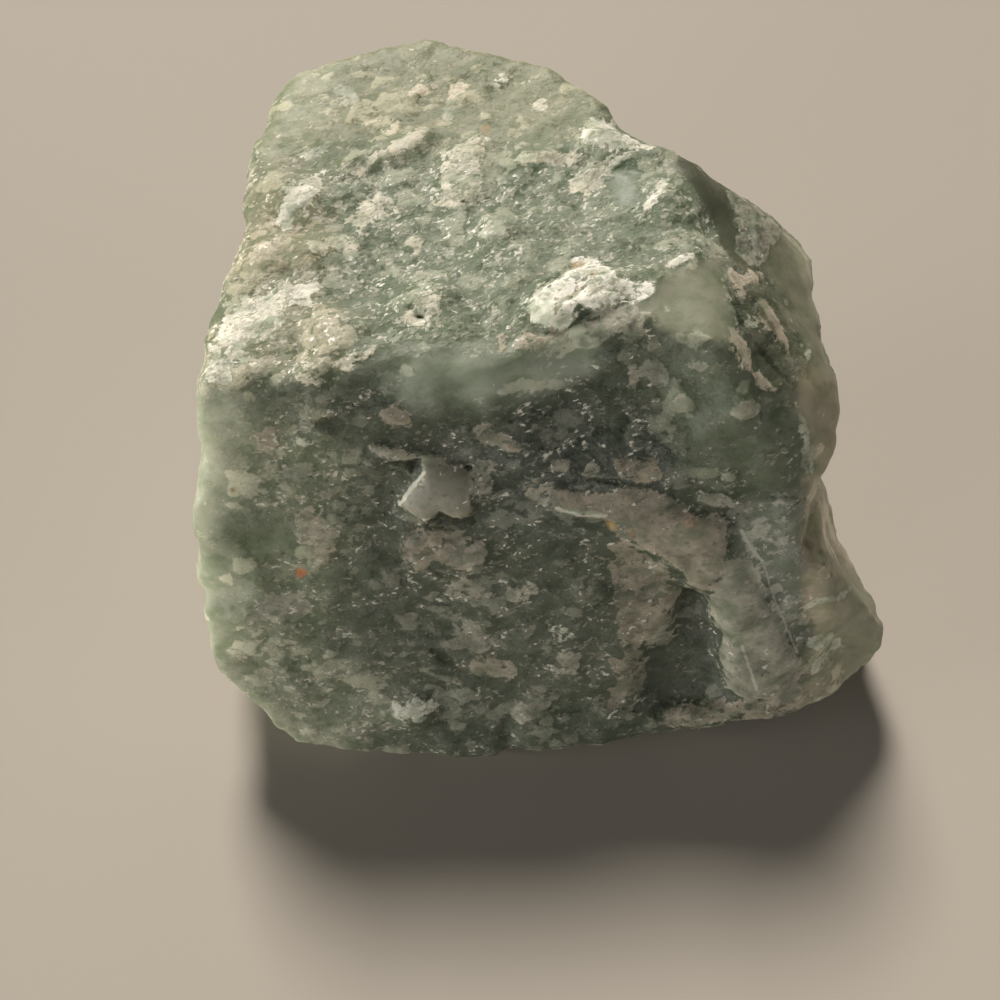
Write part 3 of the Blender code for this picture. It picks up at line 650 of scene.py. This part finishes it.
def write_attribute(mesh, name, values):
    """Writes a number for each vertex, or a tone where there are three of them."""
    kind, field = "FLOAT", "value"
    if values.ndim == 2:
        kind, field = "FLOAT_COLOR", "color"
        values = np.hstack((values, np.ones((len(values), 1))))
    attribute = mesh.attributes.new(name, kind, "POINT")
    attribute.data.foreach_set(field, values.astype(np.float32).ravel())


def smoothstep(low, high, value):
    t = np.clip((value - low) / (high - low), 0, 1)
    return t * t * (3 - 2 * t)


def along_grain(places, size=1.0, seed=0):
    """The places in the grain's own axes, drawn in by its stretch, for patterns that follow it."""
    return places @ np.array(GRAIN_AXES) / np.array(GRAIN_STRETCH) / size + seed


def each(function, places):
    return np.array([function(Vector(p)) for p in places])


def pattern(places, name):
    """One of the chance patterns, from about -1 to 1."""
    size, seed, layers = PATTERNS[name]
    return each(lambda p: noise.fractal(p, 1.0, 2, layers), places / size + seed)


def facet_heights(places, size, step, tilt, seed):
    """Flat facets at chance heights and tilts: the faces of broken grains."""

    def facet(p):
        # The grain's middle, drawn out, gives it a chance height and a chance lean.
        centre = noise.voronoi(p)[1][0]
        chance = noise.noise_vector(centre * 5.7)
        lean = noise.noise_vector(centre * 3.1 + Vector((9, 0, 0)))
        return chance.x * step * 2 + (p - centre).dot(lean) * tilt * 2

    return each(facet, along_grain(places, size, seed))


def flakes(places, size, seed, cover):
    """How far each place is inside a pale flake, in millimetres, how pale it is, and its chance."""

    def flake(p):
        for frequency, reach in FLAKE_WARPS:
            p = p + noise.noise_vector(p * frequency) * reach
        distances, centres = noise.voronoi(p)
        return distances[1] - distances[0], noise.cell(centres[0]) / 2 + 0.5

    gap, chance = each(flake, along_grain(places, size, seed)).T
    surplus = cover - chance
    inside = np.sign(surplus) * np.minimum(gap * size, np.abs(surplus) * FLAKE_END)
    return inside, np.clip(surplus / 0.5, 0, 1), chance


def photo_place(places):
    """Where the places lie in the photo, in its pixels."""
    offset = places - EYE
    depth = offset @ AHEAD
    x = PHOTO_SIZE / 2 + FOCAL_PX * offset[:, 0] / depth
    y = PHOTO_SIZE / 2 - FOCAL_PX * (offset @ UP) / depth
    return x, y


def to_camera(places):
    """The direction from each place to the photo's camera."""
    towards = EYE - places
    return towards / np.linalg.norm(towards, axis=1)[:, None]


def seen_share(places, normals, turned=0.02, facing=0.25):
    """1 where a place faces the photo's camera, down to 0 where it turns away."""
    return smoothstep(turned, facing, (to_camera(places) * normals).sum(1))


def inside_by(outline, x, y):
    """How many pixels each place is inside an outline, or outside it where negative."""
    corners = np.array(outline, float)
    following = np.roll(corners, -1, axis=0)
    gap = np.full(len(x), 1e9)
    inside = np.zeros(len(x), bool)
    for (x0, y0), (x1, y1) in zip(corners, following):
        dx, dy = x1 - x0, y1 - y0
        t = np.clip(((x - x0) * dx + (y - y0) * dy) / (dx * dx + dy * dy), 0, 1)
        gap = np.minimum(gap, np.hypot(x - x0 - t * dx, y - y0 - t * dy))
        crosses = (y0 > y) != (y1 > y)
        if dy:
            inside ^= crosses & (x < x0 + (y - y0) / dy * dx)
    return np.where(inside, gap, -gap)


def near_outline(outline, x, y):
    """The places within reach of an outline, and how far each is inside it."""
    corners = np.array(outline, float)
    low, high = corners.min(0) - REACH, corners.max(0) + REACH
    near = np.flatnonzero((x > low[0]) & (x < high[0]) & (y > low[1]) & (y < high[1]))
    return near, inside_by(outline, x[near], y[near])


def lay_zones(places, seen, x, y):
    """The green body's tone, its white flecks and its smoothness, on all sides."""
    drift = pattern(places, "drift")[:, None]
    deep, mean, pale = np.array(HIDDEN_TONES)
    body = mean + (pale - mean) * smoothstep(0.05, 0.5, drift)
    body += (deep - mean) * smoothstep(0.05, 0.5, -drift)
    speckle = 0.5 + 0.5 * pattern(places, "flecks")
    calm = smoothstep(0.1, 0.45, pattern(places, "calm"))
    x = x + pattern(places, "wander_x") * ZONE_WANDER
    y = y + pattern(places, "wander_y") * ZONE_WANDER
    for soft, tone, flecks, smooth, outline in ZONES.values():
        near, inside = near_outline(outline, x, y)
        share = smoothstep(-soft, soft, inside) * seen[near]
        body[near] += (tone - body[near]) * share[:, None]
        speckle[near] += (flecks - speckle[near]) * share
        calm[near] += (smooth - calm[near]) * share
    return body, speckle, calm


def lay_patches(places, seen, x, y, tear):
    """How far each place is inside a patch, and that patch's tone, raggedness and height."""
    chance = pattern(places, "hidden_tone")[:, None]
    tones = np.where(chance > 0.1, WHITE, np.where(chance > -0.15, GREY, PINK))
    hidden = pattern(along_grain(places), "hidden_patch") * HIDDEN_SPREAD - HIDDEN_GAP + tear
    inside = np.full(len(places), -REACH)
    lift = np.zeros(len(places))
    ragged = np.ones(len(places))
    for tone, height, torn, outline in PATCHES.values():
        near, depth = near_outline(outline, x, y)
        depth += tear[near] * torn
        depth = depth * seen[near] - REACH * (1 - seen[near])
        lift[near] = np.maximum(lift[near], height * smoothstep(-2, 2, depth))
        inner = (depth > 0) | (depth > inside[near])
        inside[near] = np.maximum(inside[near], depth)
        tones[near[inner]] = tone
        ragged[near[inner]] = min(torn, 1)
    hidden = np.clip(hidden, -REACH, REACH) * (1 - seen) - REACH * seen
    lift = np.maximum(lift, HIDDEN_LIFT * smoothstep(-3, 3, hidden))
    return np.maximum(inside, hidden), tones, ragged, lift


def lay_spots(spots, seen, x, y, tear):
    """How far each place is inside a small mark, and the first value of the mark it is in."""
    inside = np.full(len(x), -REACH)
    first = next(iter(spots.values()))[0]
    values = np.zeros((len(x), np.size(first))) + first
    for value, outline in spots.values():
        near, depth = near_outline(outline, x, y)
        depth = (depth + tear[near] * 0.3) * seen[near] - REACH * (1 - seen[near])
        inner = depth > inside[near]
        inside[near[inner]] = depth[inner]
        values[near[inner]] = value
    return inside, values


def soften(stone):
    """Swells the mesh and rounds it where the photo's stone has no crease."""
    places, normals = read_vertices(stone.data)
    x, y = photo_place(places)
    seen = seen_share(places, normals, -0.1, 0.15)
    swell = np.zeros(len(places))
    for rise, soft, outline in SWELLS.values():
        near, depth = near_outline(outline, x, y)
        swell[near] += rise * smoothstep(-soft, soft, depth) * seen[near]
    write_places(stone.data, places + to_camera(places) * swell[:, None])
    share = np.zeros(len(places))
    for soft, outline in SOFTENED.values():
        near, inside = near_outline(outline, x, y)
        share[near] = np.maximum(share[near], smoothstep(-soft, soft, inside))
    group = stone.vertex_groups.new(name="softened")
    steps = 8
    level = np.ceil(share * steps).astype(int)
    for step in range(1, steps + 1):
        group.add(np.flatnonzero(level == step).tolist(), step / steps, "REPLACE")
    rounding = stone.modifiers.new("rounding", "SMOOTH")
    rounding.factor = 0.5
    rounding.iterations = SOFTENING
    rounding.vertex_group = group.name
    return applied(stone)


def pull_edges(stone):
    """Moves the stone's edges across the camera's view, to the outline in the photo."""
    places, _ = read_vertices(stone.data)
    x, y = photo_place(places)
    pixel = ((places - EYE) @ AHEAD / FOCAL_PX)[:, None]
    total = np.full((len(places), 1), 1e-9)
    move = np.zeros((len(places), 2))
    nearest = np.full(len(places), 1e9)
    for px, py, dx, dy in EDGE_PULLS:
        distance = np.hypot(x - px, y - py)
        weight = np.exp(-(distance / PULL_SPREAD) ** 2)[:, None]
        total += weight
        move += weight * np.array((dx, -dy))
        nearest = np.minimum(nearest, distance)
    move = move / total * smoothstep(PULL_REACH, PULL_SPREAD, nearest)[:, None]
    write_places(stone.data, places + (move[:, :1] * RIGHT + move[:, 1:] * UP) * pixel)
    return stone


def build_stone():
    stone = soften(pull_edges(smooth_skin()))
    mesh = stone.data
    places, normals = read_vertices(mesh)
    x, y = photo_place(places)
    seen = seen_share(places, normals)
    body, speckle, calm = lay_zones(places, seen_share(places, normals, -0.35, -0.05), x, y)
    tear = pattern(places, "tear") * TEAR_DEPTH
    patch, patch_tones, patch_torn, lift = lay_patches(places, seen, x, y, tear)
    shaded_hollow, depths = lay_spots(SHADED_HOLLOWS, seen, x, y, tear)
    stain, stain_tones = lay_spots(STAINS, seen, x, y, tear)

    smooth_flake = smoothstep(-2, 3, patch) * (1 - patch_torn) * seen
    calm = np.maximum(calm, smooth_flake)
    cover = speckle * (FLAKE_COVER + FLAKE_CROWDING * pattern(places, "crowding"))
    flake = np.full(len(places), -1.0)
    flake_pale = np.zeros(len(places))
    slab = np.zeros(len(places))
    for size, height, seed in FLAKES:
        inside, pale, chance = flakes(places, size, seed, cover)
        slab += chance / len(FLAKES)
        lift += height * smoothstep(0, FLAKE_EDGE, inside) * smoothstep(2, -2, patch)
        flake_pale = np.where(inside > flake, pale, flake_pale)
        flake = np.maximum(flake, inside)

    relief = np.zeros(len(places))
    for size, step, tilt, seed in FACETS:
        relief += facet_heights(places, size, step, tilt, seed)
    relief += CRUMB_HEIGHT * pattern(along_grain(places), "crumbs")
    ridges = 1 - 2 * np.abs(pattern(along_grain(places), "ledges"))
    relief += LEDGE_HEIGHT * (ridges - 0.4)
    height = relief * (1 - CALMING * calm) + lift - depths[:, 0] * smoothstep(-1.5, 1.5, shaded_hollow)

    write_places(mesh, places + normals * height[:, None])
    attributes = {
        "body": body, "patch_tone": patch_tones, "stain_tone": stain_tones, "speckle": speckle,
        "calm": calm, "patch": patch, "shaded_hollow": shaded_hollow, "stain": stain, "relief": relief,
        "flake": flake, "flake_pale": flake_pale, "slab": slab, "seen": seen}
    for name, values in attributes.items():
        write_attribute(mesh, name, values)
    thin = stone.modifiers.new("thin", "DECIMATE")
    thin.ratio = TRIANGLES / sum(len(polygon.vertices) - 2 for polygon in mesh.polygons)
    applied(stone)
    places, normals = read_vertices(stone.data)
    places[:, 2] = np.maximum(places[:, 2], 0)
    write_places(stone.data, places)
    stone.data.shade_smooth()
    return stone


# ---- the stone's material

class Shades:
    """Writes a material's nodes: each call adds a node and gives its output."""

    def __init__(self, material):
        self.nodes = material.node_tree.nodes
        self.links = material.node_tree.links

    def put(self, socket, value):
        if isinstance(value, bpy.types.NodeSocket):
            self.links.new(value, socket)
        elif socket.type == "RGBA":
            socket.default_value = (*value, 1)
        else:
            socket.default_value = value

    def add(self, kind, inputs, output=0, **settings):
        node = self.nodes.new("ShaderNode" + kind)
        for name, value in settings.items():
            setattr(node, name, value)
        for key, value in inputs.items():
            self.put(node.inputs[key], value)
        return node.outputs[output]

    def attribute(self, name, output="Fac"):
        return self.add("Attribute", {}, output, attribute_name=name)

    def math(self, operation, a, b=0.0):
        return self.add("Math", {0: a, 1: b}, operation=operation)

    def sum(self, *terms):
        """The sum of terms, each a socket or a socket and what it is multiplied by."""
        total = 0.0
        for term in terms:
            value, factor = term if isinstance(term, tuple) else (term, 1.0)
            total = self.add("Math", {0: value, 1: factor, 2: total}, operation="MULTIPLY_ADD")
        return total

    def between(self, value, low, high, bottom=0.0, top=1.0):
        inputs = {"Value": value, "From Min": low, "From Max": high, "To Min": bottom, "To Max": top}
        return self.add("MapRange", inputs, interpolation_type="SMOOTHSTEP")

    def mix(self, share, a, b, blend="MIX"):
        return self.add("Mix", {0: share, 6: a, 7: b}, 2, data_type="RGBA", blend_type=blend)

    def noise(self, vector, scale, detail=2.0, roughness=0.5):
        inputs = {"Vector": vector, "Scale": scale, "Detail": detail, "Roughness": roughness}
        return self.add("TexNoise", inputs, "Fac")

    def cells(self, vector, scale):
        """Each cell's chance value and its chance colour."""
        colour = self.add("TexVoronoi", {"Vector": vector, "Scale": scale}, "Color")
        return self.add("SeparateColor", {"Color": colour}), colour

    def tinted(self, colour, tint):
        return self.mix(1.0, colour, tint, "MULTIPLY")

    def centred(self, colour):
        """A chance colour as a direction, with its mean at zero."""
        return self.vector("SUBTRACT", colour, (0.5, 0.5, 0.5))

    def vector(self, operation, a, b):
        return self.add("VectorMath", {0: a, 1: b}, operation=operation)

    def scaled(self, vector, factor):
        return self.add("VectorMath", {0: vector, "Scale": factor}, operation="SCALE")

    def dot(self, a, b):
        return self.add("VectorMath", {0: a, 1: b}, "Value", operation="DOT_PRODUCT")

    def photo_place(self, point):
        """Where a point in millimetres lies in the photo, in its pixels."""
        offset = self.vector("SUBTRACT", point, CAMERA_PLACE / MM)
        depth = self.dot(offset, AHEAD)
        across = self.math("DIVIDE", self.dot(offset, FOCAL_PX * RIGHT), depth)
        down = self.math("DIVIDE", self.dot(offset, -FOCAL_PX * UP), depth)
        place = self.add("CombineXYZ", {"X": across, "Y": down})
        return self.vector("ADD", place, (PHOTO_SIZE / 2, PHOTO_SIZE / 2, 0))

    def gap_to(self, place, start, end):
        """How far a place is from the line between two points."""
        run = Vector((*end, 0)) - Vector((*start, 0))
        offset = self.vector("SUBTRACT", place, (*start, 0))
        share = {0: self.dot(offset, run), 1: 1 / run.length_squared}
        along = self.add("Math", share, operation="MULTIPLY", use_clamp=True)
        beside = self.vector("SUBTRACT", offset, self.scaled(run, along))
        return self.add("VectorMath", {0: beside}, "Value", operation="LENGTH")


def stone_material():
    material = bpy.data.materials.new("green_aventurine")
    material.use_nodes = True
    sh = Shades(material)
    plain = sh.add("TexCoord", {}, "Object")
    to_grain = {"Vector": plain, "Rotation": GRAIN_AXES.to_euler(), "Scale": GRAIN_STRETCH * MM}
    grain = sh.add("Mapping", to_grain, vector_type="TEXTURE")
    point = sh.add("Mapping", {"Vector": plain, "Scale": Vector((1, 1, 1)) / MM})
    speckle = sh.attribute("speckle")
    calm = sh.attribute("calm")
    relief = sh.attribute("relief")

    def by_calm(rough, smooth):
        return sh.between(calm, 0.0, 1.0, rough, smooth)

    broad = sh.noise(grain, BROAD, 2, 0.55)
    middle = sh.noise(grain, MIDDLE, 3, 0.6)
    fine = sh.noise(grain, FINE, 2, 0.6)
    shift = sh.centred(sh.add("TexNoise", {"Vector": grain, "Scale": SHIFT, "Detail": 0.0}, "Color"))
    crumb, crumb_colour = sh.cells(sh.vector("ADD", grain, sh.scaled(shift, CRUMB_SHIFT)), CRUMBS)
    chip, chip_colour = sh.cells(sh.vector("ADD", grain, sh.scaled(shift, CHIP_SHIFT)), CHIPS)

    # The body: green quartz, mottled at random and clouded where it is bruised, with painted shade where
    # its relief is low and painted light where it is high.
    body = sh.attribute("body", "Color")
    deep = sh.tinted(body, DEEP)
    pale = sh.tinted(body, LIGHT)
    tone = sh.sum((middle, 0.4), (broad, 0.6), (crumb, 0.06), (relief, 0.5), -0.53)
    tone = sh.math("MULTIPLY", tone, by_calm(1.0, 0.4))
    colour = sh.mix(sh.between(tone, -0.11, 0.05), deep, body)
    colour = sh.mix(sh.between(tone, 0.05, 0.23, 0.0, 0.6), colour, pale)
    gap = sh.sum(crumb, (fine, 0.3), (calm, 0.3), -0.15)
    colour = sh.mix(sh.between(gap, 0.2, 0.12, 0.0, 0.8), colour, deep)

    # Bruised flakes, crumbs and fine chips.
    clouded = sh.mix(0.07, sh.tinted(body, CLOUDED), WHITE)
    bright = sh.mix(0.17, sh.tinted(body, BRIGHT), WHITE)
    flake = sh.sum(sh.attribute("flake"), (fine, 0.35), (middle, 0.2), -0.28)
    paleness = sh.sum(sh.attribute("flake_pale"), (fine, 1.2), (crumb, 0.6), -0.9)
    flake_tone = sh.mix(paleness, clouded, bright)
    colour = sh.mix(sh.between(flake, -0.03, 0.16, 0.0, 0.9), colour, flake_tone)
    crowd = sh.sum((broad, 0.8), (speckle, 0.35), (relief, 0.25), (calm, -0.12), -0.39)
    level = sh.sum(crumb, (fine, 0.35), -0.175, crowd)
    colour = sh.mix(sh.between(level, 1.05, 1.13, 0.0, 0.75), colour, clouded)
    level = sh.sum(chip, (crumb, 0.3), (fine, 0.3), -0.3, crowd)
    glint = sh.between(level, 1.27, 1.33)
    sparkle = sh.between(level, 1.02, 1.2)

    # Patches, with crumbling edges and gaps, painted shade and light over their relief, a painted highlight
    # inside their edges and a painted shadow outside them.
    patch_tone = sh.attribute("patch_tone", "Color")
    shaded = sh.tinted(patch_tone, SHADED)
    lit = sh.tinted(patch_tone, LIT)
    # Painted shade and light: patches go to shaded and lit copies of their tone by their relief, and at
    # random by their grain.
    relief_light_and_grain = sh.sum((middle, 0.5), (fine, 0.2), (crumb, 0.2), (chip, 0.08), (relief, 0.6))
    relief_light_and_grain = sh.sum(relief_light_and_grain, (sh.attribute("slab"), 0.35), -0.665)
    relief_light_and_grain = sh.math("MULTIPLY", relief_light_and_grain, by_calm(1.0, 0.35))
    patch_colour = sh.mix(sh.between(broad, 0.4, 0.52), sh.tinted(patch_tone, GREENER), patch_tone)
    patch_colour = sh.mix(sh.between(relief_light_and_grain, 0.0, -0.14), patch_colour, shaded)
    patch_colour = sh.mix(sh.between(relief_light_and_grain, 0.0, 0.15), patch_colour, lit)
    patch = sh.attribute("patch")
    tear = sh.math("MULTIPLY", sh.sum((fine, 9.0), (crumb, 7.0), -8.0), by_calm(1.0, 0.1))
    edge = sh.sum(patch, tear)
    gaps = sh.between(sh.sum(middle, (calm, 0.2), (patch, 0.03)), 0.4, 0.48, 0.4, 1.0)
    gaps = sh.math("MULTIPLY", gaps, sh.between(broad, 0.36, 0.56, 0.7, 1.0))
    gaps = sh.math("MULTIPLY", gaps, sh.between(gap, 0.1, 0.18, 0.35, 1.0))
    patch_share = sh.math("MULTIPLY", sh.between(edge, -2.0, 2.0), gaps)
    # Painted highlight: a lit band just inside each patch's edge.
    patch_highlight_rim = sh.math("MULTIPLY", sh.between(edge, 4.0, 1.5), sh.between(broad, 0.42, 0.55, 0.1, 0.8))
    patch_colour = sh.mix(patch_highlight_rim, patch_colour, lit)
    # Painted shadow: a darker ring just outside each patch.
    patch_shadow_ring = sh.math("MULTIPLY", sh.between(edge, -5.0, -1.5), sh.between(middle, 0.35, 0.6, 0.2, 0.7))
    colour = sh.mix(patch_shadow_ring, colour, deep)
    colour = sh.mix(patch_share, colour, patch_colour)
    colour = sh.mix(sh.between(level, 1.12, 1.18, 0.0, 0.85), colour, bright)
    # Painted glints: tiny white dots put into the colour.
    colour = sh.mix(glint, colour, WHITE)

    # Thin pale edges: painted highlights on lit edges, and a pale vein.
    wobble = sh.vector("MULTIPLY", shift, (LINE_WOBBLE, LINE_WOBBLE, 0))
    place = sh.vector("ADD", sh.photo_place(point), wobble)
    line_breaks = sh.math("MULTIPLY", sh.between(middle, 0.34, 0.48, 0.3, 0.95), sh.attribute("seen"))
    for half_width, tone, points in LIT_EDGES_AND_VEIN.values():
        gap = 99.0
        for start, end in zip(points, points[1:]):
            gap = sh.math("MINIMUM", sh.gap_to(place, start, end), gap)
        share = sh.between(gap, half_width + LINE_EDGE, half_width - LINE_EDGE)
        colour = sh.mix(sh.math("MULTIPLY", share, line_breaks), colour, tone)

    # Painted shade in the hollows, and iron stains.
    shaded_hollow = sh.sum(sh.attribute("shaded_hollow"), (fine, 4.0), -2.0)
    colour = sh.mix(sh.between(shaded_hollow, -1.5, 1.5), colour, sh.tinted(colour, HOLLOW_SHADE))
    stain = sh.sum(sh.attribute("stain"), (fine, 8.0), -4.0)
    colour = sh.mix(sh.between(stain, -2.0, 2.5, 0.0, 0.85), colour, sh.attribute("stain_tone", "Color"))

    # Fine facets that catch the light, and fine relief.
    chip_tilt = sh.sum(by_calm(*CHIP_TILT), (sparkle, 0.35))
    normal = sh.add("NewGeometry", {}, "Normal")
    normal = sh.vector("ADD", normal, sh.scaled(sh.centred(chip_colour), chip_tilt))
    normal = sh.vector("ADD", normal, sh.scaled(sh.centred(crumb_colour), by_calm(*CRUMB_TILT)))
    bumps = {"Height": fine, "Distance": BUMP_HEIGHT, "Strength": by_calm(*BUMPS), "Normal": normal}
    normal = sh.add("Bump", bumps)

    shader = sh.nodes["Principled BSDF"]
    sh.put(shader.inputs["Base Color"], colour)
    sh.put(shader.inputs["Roughness"], sh.sum(by_calm(*ROUGHNESS), (sparkle, -0.3)))
    sh.put(shader.inputs["Normal"], normal)
    shader.inputs["Subsurface Weight"].default_value = GLOW
    shader.inputs["Subsurface Radius"].default_value = GLOW_REACH
    shader.inputs["Subsurface Scale"].default_value = GLOW_SCALE
    return material


make_camera()
make_stage()
stone = build_stone()
stone.data.materials.clear()
stone.data.materials.append(stone_material())
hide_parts("aventurine")
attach(stone, "root")
